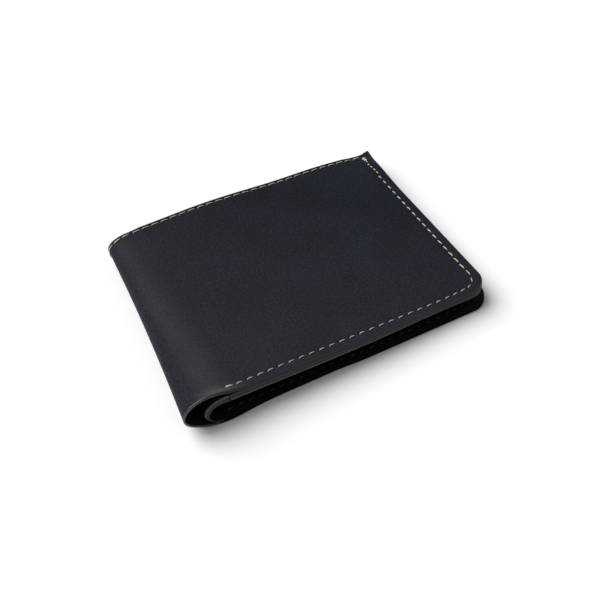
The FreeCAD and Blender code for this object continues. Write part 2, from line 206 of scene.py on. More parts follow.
def bottom_swell(points):
    """The lower half's near edge swells out beside the fold and at the free corner."""
    x, y, z = points.T
    low = smooth((4.5 - z) / 4.0) * smooth((-36 - y) / 10)
    moved = points.copy()
    beside = np.exp(-((x + 44.0) / np.where(x > -44.0, 9.5, 6.5)) ** 2)
    moved[:, 1] -= (BULGE * beside + 0.6 * smooth((x + 6) / 14)) * low
    draw = 0.95 * smooth((x - FREE_LOWER + 12) / 9)
    moved[:, 0] -= draw * smooth((4.5 - z) / 2) * smooth((-30 - y) / 12)
    return moved


def upper_depth(level, x):
    """Depth of a level of the inner stack, which is skived thinner to the free edge."""
    share = (np.asarray(x, float) - FOLD_UPPER) / (FREE_UPPER - FOLD_UPPER)
    sewn = SHELL + LINING
    return sewn + (level - sewn) * (1 - share * (1 - SKIVE))


# ---- seams ----
def bottom_seam(shift=0.0):
    """(x, y, angle, length) of each stitch of the bottom seam and of its corner."""
    start = FOLD_UPPER + 2.3
    rows = []
    for i in range(22):
        y = NEAR + SEAM_MARGIN - 0.45 * smooth(1 - i / 8) + 0.12 * smooth((i - 15) / 7)
        rows.append((start + PITCH * i + shift, y, 0.0, STITCH - 0.17 - 0.019 * i))
    for dx, dy, angle, length in CORNER_STITCHES:
        rows.append((FREE_UPPER + dx + shift, NEAR + dy, angle, length))
    return rows


def side_seam(shift=0.0):
    """Stitches of the free edge, and four short ones where the seam ends beside the mouth."""
    rows = []
    corner_y = NEAR + CORNER_STITCHES[-1][1]
    for i in range(1, 18):
        y = corner_y + SIDE_PITCH * i
        rows.append((FREE_UPPER - SIDE_MARGIN - 0.2 + 0.005 * y + shift, y, 90.0, 2.65 - 0.045 * i))
    for i in range(4):
        rows.append((FREE_UPPER - SIDE_MARGIN + 0.5 + shift, 29.2 + 2.35 * i, 88.0, 1.15))
    return rows


def hem_seam(x_low, x_high):
    """Stitches of the hem along the mouth, in line with it and evenly spaced."""
    length = 3.1
    count = round((x_high - x_low) / PITCH)
    pitch = (x_high - x_low) / count
    return [(x_low + pitch * (i + 0.5), MOUTH - HEM_MARGIN, -SLANT, length) for i in range(count)]


def dent(x, y, stitches, depth=0.2):
    """How far a row of stitches pulls the leather in: along each stitch and at its holes."""
    sunk = np.zeros_like(x)
    for sx, sy, angle, length in stitches:
        near = (np.abs(x - sx) < 4) & (np.abs(y - sy) < 4)
        if not near.any():
            continue
        a = math.radians(angle + SLANT)
        dx = x[near] - sx
        dy = y[near] - sy
        along = dx * math.cos(a) + dy * math.sin(a)
        across = -dx * math.sin(a) + dy * math.cos(a)
        over = np.maximum(np.abs(along) - length / 2, 0)
        bed = 0.55 * np.exp(-(across / 0.42) ** 2 - (over / 0.35) ** 2)
        hole = np.exp(-((np.abs(along) - length / 2 - 0.1) ** 2 + across ** 2) / 0.42 ** 2)
        wide = 0.45 * np.exp(-(across / 1.5) ** 2 - (over / 1.0) ** 2)
        sunk[near] = np.maximum(sunk[near], depth * (bed + 1.1 * hole + wide))
    return sunk


# ---- mesh building ----
def cut_area(ring):
    """Area of a closed plan outline, in square metres."""
    x, y = ring.T
    return 0.5 * abs(float(np.dot(x, np.roll(y, -1)) - np.dot(y, np.roll(x, -1)))) * MM * MM


def cloth(ring):
    """Work out the area of a lining's plan outline, which is not used."""
    cut_area(ring)


def linked(name, data):
    """A new object in the scene."""
    obj = bpy.data.objects.new(name, data)
    bpy.context.scene.collection.objects.link(obj)
    return obj


def finish_piece(obj, materials, blend=None):
    """Give a piece its looks and hide the node that it stands for; attach it to its half's body, or
    bake its place in when blend is given.

    A piece NAME_top stands for the node NAME_upper, NAME_base for NAME_lower, and NAME_fold,
    which crosses the fold, for NAME_spine.
    """
    for material in materials:
        obj.data.materials.append(material)
    stem, _, part = obj.name.rpartition("_")
    node_part = {"top": "upper", "base": "lower", "fold": "spine"}[part]
    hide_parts(stem + "_" + node_part)
    if blend:
        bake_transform(obj)
    else:
        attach(obj, node_part + "_half")
    return obj


def mesh_object(name, points, faces, uv, face_slots=None, sharp=48):
    mesh = bpy.data.meshes.new(name)
    points = bottom_swell(np.asarray(points, float))
    mesh.from_pydata((points * MM).tolist(), [], [list(map(int, f)) for f in faces])
    mesh.validate()
    layer = mesh.uv_layers.new(name="UVMap")
    loops = np.zeros(len(mesh.loops), np.int32)
    mesh.loops.foreach_get("vertex_index", loops)
    layer.data.foreach_set("uv", (np.asarray(uv) / 100.0)[loops].astype(np.float32).ravel())
    mesh.polygons.foreach_set("use_smooth", [True] * len(mesh.polygons))
    if face_slots is not None and len(face_slots) == len(mesh.polygons):
        mesh.polygons.foreach_set("material_index", face_slots)
    mesh.set_sharp_from_angle(angle=math.radians(sharp))
    return linked(name, mesh)


def outline(x_low, x_high, y_high, radius, ear=None, step=0.5, y_low=NEAR, square=False,
            flare=False):
    """Closed plan outline, anticlockwise from the near fold corner, with inward normals.

    The fold side is a cut: its normals have no X part unless square is set. ear is how far
    along Y the sewn corner beside the mouth reaches, and flare follows the upper half's edges.
    """
    points = []
    normals = []

    def run(start, end, normal):
        count = max(int(math.dist(start, end) / step), 1)
        for i in range(1, count):
            t = i / count
            corner((start[0] + (end[0] - start[0]) * t, start[1] + (end[1] - start[1]) * t), normal)

    def corner(place, normal):
        points.append(place)
        normals.append(normal)

    fold = 1.0 if square else 0.0
    corner((x_low, y_low), (fold, 1))
    run((x_low, y_low), (x_high - radius, y_low), (0, 1))
    steps = 14
    for i in range(steps + 1):
        a = 0.5 * math.pi * i / steps
        corner((x_high - radius + radius * math.sin(a), y_low + radius - radius * math.cos(a)),
               (-math.sin(a), math.cos(a)))
    turn = [((x_high, y_high), (-1, -1))]
    if ear is not None:
        turn = [((x_high, ear - 1.1), (-1, -0.2)), ((x_high - 0.25, ear - 0.4), (-0.85, -0.5)),
                ((x_high - 0.65, ear - 0.1), (-0.2, -1)), ((x_high - 1.0, ear - 0.35), (0.6, -0.8)),
                ((x_high - EAR_WIDTH, y_high), (0.41, -1))]
    run((x_high, y_low + radius), turn[0][0], (-1, 0))
    for place, normal in turn:
        corner(place, normal)
    run(turn[-1][0], (x_low, y_high), (0, -1))
    corner((x_low, y_high), (fold, -1))
    run((x_low, y_high), (x_low, y_low), (fold, 0))
    points = np.array(points)
    if flare:
        points[:, 1] += near_draw(points[:, 0], points[:, 1])
        points[:, 0] += free_flare(points[:, 0], points[:, 1])
    return points, np.array(normals, float)


def inside_polygon(px, py, ring):
    inside = np.zeros(len(px), bool)
    x0, y0 = ring[:, 0], ring[:, 1]
    x1, y1 = np.roll(x0, -1), np.roll(y0, -1)
    for a, b, c, d in zip(x0, y0, x1, y1):
        cross = (b > py) != (d > py)
        if b != d:
            inside ^= cross & (px < (c - a) * (py - b) / (d - b) + a)
    return inside


def fill_points(ring, fine, coarse, band, rows=()):
    """Points inside a ring: a fine grid near the sewn edges and extra rows, coarse elsewhere."""
    low, high = ring.min(0), ring.max(0)
    found = []
    for spacing, is_fine in ((fine, True), (coarse, False)):
        xs = np.arange(low[0] + spacing * 0.5, high[0], spacing)
        ys = np.arange(low[1] + spacing * 0.5, high[1], spacing)
        gx, gy = [g.ravel() for g in np.meshgrid(xs, ys)]
        near_edge = (gy < low[1] + band) | (gx > high[0] - band) | (gy > high[1] - band - 1.5)
        for row in rows:
            near_edge |= np.abs(gy - row) < 1.0
        keep = near_edge if is_fine else ~near_edge
        gx, gy = gx[keep], gy[keep]
        keep = inside_polygon(gx, gy, ring)
        found.append(np.stack([gx[keep], gy[keep]], 1))
    points = np.concatenate(found)
    clear = np.ones(len(points), bool)
    for chunk in range(0, len(points), 4000):
        part = points[chunk:chunk + 4000]
        gaps = ((part[:, None, :] - ring[None, :, :]) ** 2).sum(2).min(1)
        clear[chunk:chunk + 4000] = gaps > (0.55 * fine) ** 2
    return points[clear]


def plate(name, plan, top, bottom, materials, rounding, fine, coarse, band=5.0, rows=(),
          rests_on=(), mouth_slot=1):
    """A sheet with rounded edges; top and bottom give its two faces' heights.

    Its materials are the top, the cut edge and the underside, and mouth_slot is the one for
    the edge on the mouth side. Its mesh is fine in a band along the edges and beside the rows,
    and coarse elsewhere. rests_on is given for cloth only.
    """
    points, normals = plan
    count = len(points)
    edge_slots = np.where(points[:, 1] > points[:, 1].max() - 0.3, mouth_slot, 1).tolist()
    turns = (0, 28, 56, 90)
    rings = []
    heights = []
    above, below = rounding
    for face, radius, side, order in ((top, above, -1, turns), (bottom, below, 1, turns[::-1])):
        for turn in order:
            t = math.radians(turn)
            ring = points + normals * radius * (1 - math.sin(t))
            rings.append(ring)
            heights.append(face(ring[:, 0], ring[:, 1]) + side * radius * (1 - math.cos(t)))
    vertices = [np.column_stack([r, h]) for r, h in zip(rings, heights)]
    faces = []
    slots = []
    index = np.arange(count)
    after = np.roll(index, -1)
    for k in range(len(rings) - 1):
        a, b = index + k * count, after + k * count
        c, d = after + (k + 1) * count, index + (k + 1) * count
        faces += np.stack([a, d, c, b], 1).tolist()
        slots += edge_slots
    inner = fill_points(rings[0], fine, coarse, band, rows)
    inner = inner[inside_polygon(inner[:, 0], inner[:, 1], rings[-1])]
    flat = np.concatenate([rings[0], inner])
    tris = delaunay_2d_cdt([Vector(p) for p in flat], [], [list(range(count))], 1, 1e-6)[2]
    offset = count * len(rings)
    vertices.append(np.column_stack([inner, top(inner[:, 0], inner[:, 1])]))
    vertices.append(np.column_stack([inner, bottom(inner[:, 0], inner[:, 1])]))
    last_ring = count * (len(rings) - 1)
    for tri in tris:
        if max(tri) >= len(flat):
            continue
        upper = [v if v < count else offset + v - count for v in tri]
        under = [last_ring + v if v < count else offset + len(inner) + v - count for v in tri]
        faces += [upper, under[::-1]]
        slots += [0, 2]
    vertices = np.concatenate(vertices)
    obj = mesh_object(name, vertices, faces, vertices[:, :2], slots)
    finish_piece(obj, materials)
    if rests_on:
        cloth(points)


def nose_drop(length, nose):
    """Rounding of the upper end of a curled layer."""
    gap = np.clip(nose - (length[-1] - length), 0, nose)
    return nose - np.sqrt(np.maximum(nose ** 2 - gap ** 2, 0))


def fold_band(name, section, thickness, y_low, y_high, materials, blend, rounding=0.2,
              nose=0.0, tucked=0):
    """A layer that bends round the fold: section(y, steps) gives its outer curve and normals.

    Its materials are the outer face, the cut edge and the inner face, and a fourth for the
    first steps of the edge, as many as tucked says, which lie hidden between the halves.
    nose rounds its upper end.
    """
    steps = FOLD_STEPS
    turns = (90, 60, 30, 0)
    thick = thickness(np.linspace(0, 1, steps + 1))
    curved = [(rounding * (1 - math.sin(t)), rounding * (1 - math.cos(t)))
              for t in map(math.radians, turns)]
    rows = [(y_low + inset, drop) for inset, drop in curved]    # (y, drop below the outer face)
    rows += [(y, 0.0) for y in np.arange(y_low + rounding + 0.5, y_high - rounding - 0.3, 0.9)]
    rows += [(y_high - inset, drop) for inset, drop in reversed(curved)]
    loop = [(y, d, 0) for y, d in rows] + [(y, -d, 1) for y, d in reversed(rows)]
    points = []
    uv = []
    for y, drop, side in loop:
        curve, normals, length = section(y, steps)
        if nose:
            drop = drop + np.minimum(nose_drop(length, nose), 0.45 * thick)
        if side:
            drop = thick + drop
        place = curve - normals * np.atleast_1d(drop)[:, None]
        ys = np.full(steps + 1, y)
        points.append(np.column_stack([place[:, 0], ys, place[:, 1]]))
        uv.append(np.column_stack([FOLD_UPPER + length - length[-1], ys]))
    around = len(loop)
    across = steps + 1
    faces = []
    slots = []
    rims = len(turns)
    for i in range(around):
        j = (i + 1) % around
        edge = i < rims - 1 or i >= around - rims or abs(i - (len(rows) - 1)) < rims
        for k in range(steps):
            faces.append([i * across + k, j * across + k, j * across + k + 1, i * across + k + 1])
            if edge:
                slots.append(3 if k < tucked else 1)
            else:
                slots.append(0 if i < len(rows) else 2)
    faces.append([i * across for i in range(around)][::-1])
    faces.append([i * across + steps for i in range(around)])
    slots += [1, 1]
    obj = mesh_object(name, np.concatenate(points), faces, np.concatenate(uv), slots)
    return finish_piece(obj, materials, blend)


def unit(vectors):
    return vectors / np.linalg.norm(vectors, axis=1)[:, None]


def run_length(points):
    """Length along a curve to each of its points."""
    return np.concatenate([[0], np.cumsum(np.linalg.norm(np.diff(points, axis=0), axis=1))])


def with_normals(curve):
    """Unit normals on the outer side of a curve that runs from the underside to the top."""
    tangent = unit(np.gradient(curve, axis=0))
    return np.column_stack([-tangent[:, 1], tangent[:, 0]]), run_length(curve)


def resample(points, steps):
    run = run_length(points)
    places = np.linspace(0, run[-1], steps + 1)
    return np.column_stack([np.interp(places, run, values) for values in points.T])


def curl(low, left, high, egg=1.0):
    """Lower and upper quarter of a curl that runs from low round left to high, each (x, z)."""
    t = np.linspace(0, 0.5 * math.pi, 60)
    under = np.column_stack([low[0] - (low[0] - left[0]) * np.sin(t) ** egg,
                             left[1] - (left[1] - low[1]) * np.cos(t)])
    over = np.column_stack([high[0] - (high[0] - left[0]) * np.cos(t),
                            left[1] + (high[1] - left[1]) * np.sin(t)])
    return under, over[1:]


def shell_section(inset):
    """Section of the fold at a distance inside the shell's outer face."""
    def section(y, steps):
        left = (float(through(y, *SHELL_LEFT)) + inset, float(through(y, *SHELL_LEFT_Z)))
        top = (float(crest_x(y)), float(crest_z(y)) - inset)
        under, over = curl((FOLD_LOWER - 1.0, inset), left, top, EGG)
        xs = np.linspace(top[0], FOLD_UPPER, 40)
        shoulder = np.column_stack([xs, outer_face(xs, np.full_like(xs, y)) - inset])
        curve = np.concatenate([[[FOLD_LOWER, inset]], under, over, shoulder[1:]])
        curve = resample(curve, steps)
        normals, length = with_normals(curve)
        normals[0] = (0, -1)
        return curve, normals, length
    return section


def curl_thickness(low, left, high):
    """Thickness of an inner layer along its curl: underside, middle of the curl, upper end."""
    def thickness(t):
        bend = low + (left - low) * smooth((t - 0.3) / 0.26)
        return bend + (high - left) * smooth((t - 0.56) / 0.3)
    return thickness


def inner_section(low_z, upper_level, over_it=None):
    """Section of a layer that curls round inside the bill compartment, under over_it if given."""
    def section(y, steps):
        left = (float(through(y, *BAND_LEFT)), float(through(y, *BAND_LEFT_Z)))
        start, end = PANEL_FOLD_LOWER, STACK_START - 0.25
        high_z = float(inner_base(end, y)) - upper_level
        under, over = curl((start - 3.0, low_z), left, (end - 2.2, high_z))
        curve = np.concatenate([[[start, low_z]], under, over, [[end, high_z]]])
        curve = resample(curve, steps)
        normals, length = with_normals(curve)
        if over_it is not None:
            along = np.linspace(0, 1, steps + 1)
            gap = over_it(along) + 0.03 + 0.17 * smooth(np.linspace(-0.6, 1, steps + 1))
            curve = curve - normals * gap[:, None]
            run = smooth(along * 9)
            curve[:, 1] = curve[:, 1] * run + (1 - run) * curve[0, 1]
            normals, length = with_normals(curve)
        return curve, normals, length
    return section


# ---- thread ----
UP = (0, 0, 1)
DOWN = (0, 0, -1)
STITCH_POINTS = 13


def thread_tube(path, up, radius):
    """A short length of plied thread along path, thinner at its ends."""
    around = 12
    plies = 3
    turns = 1.3
    path = np.asarray(path, float)
    tangent = unit(np.gradient(path, axis=0))
    side = unit(np.cross(tangent, up))
    lift = np.cross(side, tangent)
    s = np.linspace(0, 1, len(path))
    angle = np.linspace(0, 2 * math.pi, around, endpoint=False)
    twist = angle[None, :] - 2 * math.pi * turns * s[:, None]
    groove = 1 - 0.13 * np.abs(np.cos(0.5 * plies * twist))
    taper = np.clip(np.minimum(s, 1 - s) * 6, 0.3, 1) ** 0.5 * (1.22 - 0.5 * s)
    r = radius * groove * taper[:, None]
    points = (path[:, None, :] + side[:, None, :] * (r * np.cos(angle))[..., None]
              + lift[:, None, :] * (0.85 * r * np.sin(angle))[..., None]).reshape(-1, 3)
    faces = []
    n = len(path)
    for i in range(0, (n - 1) * around, around):
        for k in range(around):
            j = (k + 1) % around
            faces.append([i + k, i + j, i + around + j, i + around + k])
    faces.append(list(range(around))[::-1])
    faces.append([(n - 1) * around + k for k in range(around)])
    uv = np.stack(np.meshgrid(s * 3.0, angle, indexing="ij"), -1).reshape(-1, 2)
    return points, faces, uv


def stitch_path(stitch, height, rise, sink, side):
    """Points of one stitch over a face: it comes out of one hole and dives into the next."""
    x, y, angle, length = stitch
    a = math.radians(angle + SLANT + RNG.normal(0, 1.2))
    s = np.linspace(-1, 1, STITCH_POINTS)
    reach = 0.5 * (length + RNG.normal(0, 0.05))
    px = x + s * reach * math.cos(a)
    py = y + s * reach * math.sin(a)
    arch = (rise - 0.03 * s) * (1 - np.abs(s) ** 3.2) - sink * np.abs(s) ** 7
    pz = np.broadcast_to(height(px, py), px.shape)
    return np.column_stack([px, py, pz + side * arch])


def thread_object(name, paths, material, blend=None):
    """All the stitches of one seam, from (path, up, radius) of each."""
    points = []
    faces = []
    uv = []
    offset = 0
    for path, up, radius in paths:
        p, f, u = thread_tube(path, up, radius)
        points.append(p)
        faces += [[v + offset for v in face] for face in f]
        uv.append(u + offset * 0.37)
        offset += len(p)
    obj = mesh_object(name, np.concatenate(points), faces, np.concatenate(uv), sharp=80)
    finish_piece(obj, [material], blend)


def row_paths(stitches, height, side=1, radius=0.155, rise=0.05, sink=0.34):
    """Stitches on the face at height; side is 1 where it looks up and -1 where it looks down."""
    up = UP if side > 0 else DOWN
    return [(stitch_path(s, height, rise, sink, side), up, radius) for s in stitches]


def tack_paths(x, height, side=1):
    """Bar tack: stitches crossing over each other at the end of the side seam."""
    up = UP if side > 0 else DOWN
    y = MOUTH - 4.15
    bars = [(x - 0.30, y, 88, 3.4, 0.0), (x + 0.32, y + 0.1, 94, 3.3, 0.0),
            (x, y - 0.2, 91, 3.6, 0.16), (x + 0.2, y + 0.6, 12, 1.7, 0.10),
            (x - 0.1, y - 2.2, 84, 1.4, 0.0)]
    paths = []
    for bx, by, angle, length, raised in bars:
        def face(px, py, raised=raised):
            return height(px, py) + side * raised

        path = stitch_path((bx, by, angle - SLANT, length), face, 0.1, 0.35, side)
        paths.append((path, up, 0.23))
    return paths


# ---- materials ----
class Nodes:
    """Short way to lay out a material's node tree round one Principled shader."""

    def __init__(self, name, gloss):
        self.material = bpy.data.materials.new(name)
        self.material.use_nodes = True
        self.tree = self.material.node_tree
        self.tree.nodes.clear()
        self.shader = self.add("ShaderNodeBsdfPrincipled")
        self.shader.inputs["Specular IOR Level"].default_value = gloss
        self.link(self.shader.outputs[0], self.add("ShaderNodeOutputMaterial").inputs[0])

    def add(self, kind, **values):
        node = self.tree.nodes.new(kind)
        for key, value in values.items():
            if key in node.inputs:
                node.inputs[key].default_value = value
            else:
                setattr(node, key, value)
        return node

    def link(self, a, b):
        self.tree.links.new(a, b)

    def math(self, operation, a, b):
        node = self.add("ShaderNodeMath", operation=operation)
        for socket, value in zip(node.inputs, (a, b)):
            if isinstance(value, (int, float)):
                socket.default_value = value
            else:
                self.link(value, socket)
        return node.outputs[0]

    def total(self, *parts):
        """Sum of (value, weight) pairs."""
        result = None
        for value, weight in parts:
            value = self.math("MULTIPLY", value, weight)
            result = value if result is None else self.math("ADD", result, value)
        return result

    def uv(self):
        return self.add("ShaderNodeUVMap", uv_map="UVMap").outputs[0]

    def place(self):
        return self.add("ShaderNodeTexCoord").outputs["Object"]

    def mapped(self, vector, socket, value):
        """The vector with a Mapping node's Scale or Rotation applied."""
        node = self.add("ShaderNodeMapping")
        node.inputs[socket].default_value = value
        self.link(vector, node.inputs["Vector"])
        return node.outputs[0]

    def noise(self, vector, scale, detail=2.0, roughness=0.5):
        node = self.add("ShaderNodeTexNoise", Scale=scale, Detail=detail, Roughness=roughness)
        self.link(vector, node.inputs["Vector"])
        return node.outputs["Fac"]

    def cells(self, vector, scale, feature="F1"):
        node = self.add("ShaderNodeTexVoronoi", feature=feature, Scale=scale)
        self.link(vector, node.inputs["Vector"])
        return node.outputs["Distance"]

    def ramp(self, value, stops):
        node = self.add("ShaderNodeValToRGB")
        elements = node.color_ramp.elements
        while len(elements) < len(stops):
            elements.new(0.5)
        for element, (place, colour) in zip(elements, stops):
            element.position = place
            element.color = tuple(colour) + (1.0,)
        self.link(value, node.inputs[0])
        return node.outputs[0]

    def spread(self, value, *ends):
        """Map the value from the first two ends to the last two."""
        node = self.add("ShaderNodeMapRange")
        for socket, end in zip(("From Min", "From Max", "To Min", "To Max"), ends):
            node.inputs[socket].default_value = end
        self.link(value, node.inputs["Value"])
        return node.outputs[0]

    def finish(self, colour, rough=None, relief=None, strength=0.0, depth=0.0):
        """Link the surface's colour, roughness and relief, and return the material."""
        self.link(colour, self.shader.inputs["Base Color"])
        if rough is not None:
            self.link(rough, self.shader.inputs["Roughness"])
        if relief is not None:
            node = self.add("ShaderNodeBump", Strength=strength, Distance=depth)
            self.link(relief, node.inputs["Height"])
            self.link(node.outputs[0], self.shader.inputs["Normal"])
        return self.material


def scaled(colour, factor):
    return tuple(c * factor for c in colour)


def leather(name, colour, rough, grain, gloss, painted_highlight=None):
    """Fine-grained, lightly finished leather: pores, cloudy dye and, when a highlight colour is
    given, a painted highlight on the shoulder.

    Its UV runs on across the fold, in units of 100 mm, with the shoulder at about -0.5, where
    the painted highlight colour is added to the dye.
    """
    n = Nodes(name, gloss)
    uv = n.uv()
    cloud = n.noise(uv, 5.0, 4.0, 0.55)
    fleck = n.noise(uv, 115.0, 3.0, 0.62)
    tone = n.ramp(n.total((cloud, 0.22), (fleck, 0.78)),
                  [(0.34, scaled(colour, 0.4)), (0.51, colour), (0.68, scaled(colour, 1.9))])
    fine = n.noise(uv, 420.0, 3.0, 0.65)
    relief = n.total((n.cells(uv, 260.0), 0.45), (n.cells(uv, 150.0, "SMOOTH_F1"), 0.55),
                     (fine, 0.5), (n.noise(uv, 30.0, 3.0, 0.5), 1.2))
    if painted_highlight:
        tone = add_painted_highlight(n, uv, cloud, tone, painted_highlight)
    rough = n.spread(n.total((cloud, 0.5), (fine, 0.5)), 0.3, 0.7, rough - 0.06, rough + 0.08)
    return n.finish(tone, rough, relief, grain, 0.00012)


def add_painted_highlight(n, uv, cloud, tone, painted_highlight):
    """Tone with a painted highlight added on the shoulder, stronger towards the near edge and
    strongest at the near rim, and a little painted light towards the near edge and the fold side.
    """
    split = n.add("ShaderNodeSeparateXYZ")
    n.link(uv, split.inputs[0])
    across = n.math("ADD", split.outputs[0], n.math("MULTIPLY", cloud, 0.03))
    rise = n.spread(across, -0.33, -0.435, 0.0, 1.0)
    fall = n.spread(across, -0.462, -0.515, 1.0, 0.0)
    lean = n.math("ADD", split.outputs[1], n.math("MULTIPLY", split.outputs[0], 0.6))
    near = n.spread(lean, 0.40, -0.50, 0.0, 0.38)
    rise = n.math("MULTIPLY", rise, n.spread(split.outputs[1], 0.44, -0.30, 0.2, 1.25))
    rim = n.spread(split.outputs[1], -0.42, -0.455, 0.0, 1.8)
    rise = n.math("ADD", rise, n.math("MULTIPLY", rise, rim))
    # Painted highlight: the mask of where light is painted into the leather's colour.
    highlight_mask = n.math("MULTIPLY", n.math("MAXIMUM", rise, near), fall)
    highlight_colour = n.add("ShaderNodeVectorMath", operation="SCALE")
    highlight_colour.inputs[0].default_value = painted_highlight
    n.link(highlight_mask, highlight_colour.inputs["Scale"])
    # The painted highlight colour is added to the dye.
    highlighted = n.add("ShaderNodeVectorMath", operation="ADD")
    n.link(tone, highlighted.inputs[0])
    n.link(highlight_colour.outputs[0], highlighted.inputs[1])
    return highlighted.outputs[0]


def painted_edge(name, colour, rough, gloss):
    """Burnished and dyed cut edge, with the grain of the layers running along it."""
    n = Nodes(name, gloss)
    place = n.place()
    lines = n.noise(n.mapped(place, "Scale", (0.25, 0.25, 3.0)), 900.0, 3.0, 0.6)
    spots = n.noise(place, 260.0, 2.0, 0.5)
    mixed = n.total((lines, 0.5), (spots, 0.5))
    tone = n.ramp(mixed, [(0.3, scaled(colour, 0.75)), (0.7, scaled(colour, 1.25))])
    return n.finish(tone, n.spread(spots, 0.3, 0.7, rough - 0.05, rough + 0.08),
                    mixed, 0.35, 0.0001)


def woven(name, colour):
    """Fine twill lining."""
    n = Nodes(name, 0.2)
    uv = n.uv()
    wave = n.add("ShaderNodeTexWave", wave_type="BANDS", bands_direction="X", Scale=75.0,
                 Distortion=0.4)
    n.link(n.mapped(uv, "Rotation", (0, 0, math.radians(45))), wave.inputs["Vector"])
    ribs = wave.outputs["Fac"]
    tone = n.ramp(ribs, [(0.2, scaled(colour, 0.6)), (0.8, scaled(colour, 1.3))])
    relief = n.math("ADD", ribs, n.noise(uv, 300.0, 2.0))
    return n.finish(tone, n.spread(ribs, 0, 1, 0.9, 0.75), relief, 0.5, 0.0001)


def waxed_thread(name, colour):
    """Twisted polyester thread: fine fibres across the plies and uneven wax."""
    n = Nodes(name, 0.35)
    place = n.place()
    uneven = n.noise(place, 320.0, 2.0, 0.5)
    fibre = n.noise(place, 2600.0, 2.0, 0.6)
    lit = tuple(min(c * 1.18, 0.95) for c in colour)
    tone = n.ramp(n.total((uneven, 0.6), (fibre, 0.4)),
                  [(0.3, scaled(colour, 0.72)), (0.5, colour), (0.72, lit)])
    n.shader.inputs["Sheen Weight"].default_value = 0.15
    return n.finish(tone, n.spread(uneven, 0.3, 0.7, 0.5, 0.72), fibre, 0.5, 0.00008)


CHARCOAL = (0.0092, 0.0116, 0.0164)
INNER = (0.0052, 0.0060, 0.0078)
# Its last colour is a painted highlight, added on the shoulder and towards the near edge.
OUTER_LEATHER = leather("shell_leather", CHARCOAL, rough=0.55, grain=1.0, gloss=0.072,
                        painted_highlight=(0.0188, 0.0180, 0.0184))
INNER_LEATHER = leather("inner_leather", INNER, rough=0.55, grain=0.5, gloss=0.2)
FLESH = leather("flesh_side", (0.005, 0.005, 0.006), rough=0.8, grain=0.8, gloss=0.08)
EDGE = painted_edge("burnished_edge", (0.017, 0.0195, 0.025), rough=0.5, gloss=0.3)
RIM_EDGE = painted_edge("rim_edge", (0.010, 0.0115, 0.0145), rough=0.36, gloss=0.8)
CURL_EDGE = painted_edge("curl_edge", (0.040, 0.043, 0.050), rough=0.45, gloss=0.35)
TUCK_EDGE = painted_edge("tucked_edge", (0.019, 0.021, 0.026), rough=0.45, gloss=0.35)
RAW_EDGE = painted_edge("raw_edge", (0.15, 0.148, 0.125), rough=0.6, gloss=0.3)
# Edge colour with painted shade: far darker than the other edges, so that the lower half's edges,
# the linings' edges and the tucked ends of the curls read as in shadow.
SHADED_EDGE = painted_edge("black_edge", (0.0016, 0.0016, 0.002), rough=0.7, gloss=0.05)
FABRIC = woven("lining_twill", (0.006, 0.006, 0.007))
THREAD = waxed_thread("thread_ivory", (0.60, 0.585, 0.485))
THREAD_SIDE = waxed_thread("thread_cream", (0.60, 0.57, 0.43))
THREAD_TAN = waxed_thread("thread_tan", (0.56, 0.51, 0.36))
# Thread colour with painted shade: many times darker than the ivory thread, for the lower seams in
# the gap between the halves and under the wallet.
THREAD_SHADED = waxed_thread("thread_olive", (0.038, 0.038, 0.023))

# Materials of a layer, in the order that plate() and fold_band() say.
SHELL_LOOK = (OUTER_LEATHER, EDGE, FLESH)
INNER_LOOK = (INNER_LEATHER, EDGE, INNER_LEATHER)
FRONT_LOOK = (INNER_LEATHER, RAW_EDGE, INNER_LEATHER, EDGE)
LINING_LOOK = (FABRIC, EDGE, FABRIC)
# The next four looks put the edge colour with painted shade on cut edges: every edge for the lining
# and lower looks, the tucked steps for the curl and tuck looks.
SHADED_LINING_LOOK = (FABRIC, SHADED_EDGE, FABRIC)
CURL_LOOK = (INNER_LEATHER, CURL_EDGE, INNER_LEATHER, SHADED_EDGE)
TUCK_LOOK = (INNER_LEATHER, TUCK_EDGE, INNER_LEATHER, SHADED_EDGE)
LOWER_LOOK = (INNER_LEATHER, SHADED_EDGE, INNER_LEATHER)


# ---- upper half ----
SEAM_U = bottom_seam()
SIDE_U = side_seam()
HEM_U = hem_seam(FOLD_UPPER + 0.3, FREE_UPPER - SIDE_MARGIN + 0.6)
ALL_U = SEAM_U + SIDE_U + HEM_U


def upper_top(x, y):
    return outer_face(x, y) - dent(x, y, ALL_U)


def below_outer(*depths):
    """Height below the upper half's outer face."""
    def height(x, y):
        face = outer_face(x, y)
        for depth in depths:
            face = face - depth
        return face
    return height


def inner_base(x, y):
    """The plane that the inner layers of the upper half follow."""
    return flat_face(x) + stack_rise(x, y)


def upper_level(level, sunk=()):
    """Height of a level of the upper half's inner stack, pulled in by the stitches sunk."""
    def height(x, y):
        face = inner_base(x, y) - upper_depth(level, x)
        return face + dent(x, y, sunk, 0.12) if len(sunk) else face
    return height


def upper_levels():
    """Levels of the inner stack, counted inwards from the shell's outer face."""
    level = SHELL + LINING
    levels = {}
    for name, thick in zip(INNER_LAYERS, (0.8, 0.7, 0.2, 0.4, 0.4, 0.4)):
        levels[name] = (level, level + thick)
        level += thick
    return levels


LEVELS_U = upper_levels()


def crease(y, mouth):
    """Heated crease line pressed in below the mouth of a card pocket."""
    return 0.10 * np.exp(-((y - mouth + 1.5) / 0.35) ** 2)


def pocket_at(y):
    """Name of the front-most card pocket that covers y, if there is one."""
    return next(("card_pocket_" + n for n in ("front", "middle", "rear") if y < MOUTHS[n]), None)


def pocket_stitch_ys(y):
    """Places of the stitches up the side of the card pockets, clear of the pocket mouths."""
    while y < MOUTHS["rear"] - 2:
        if all(abs(y - m) > 2.0 for m in MOUTHS.values()):
            yield y
        y += PITCH


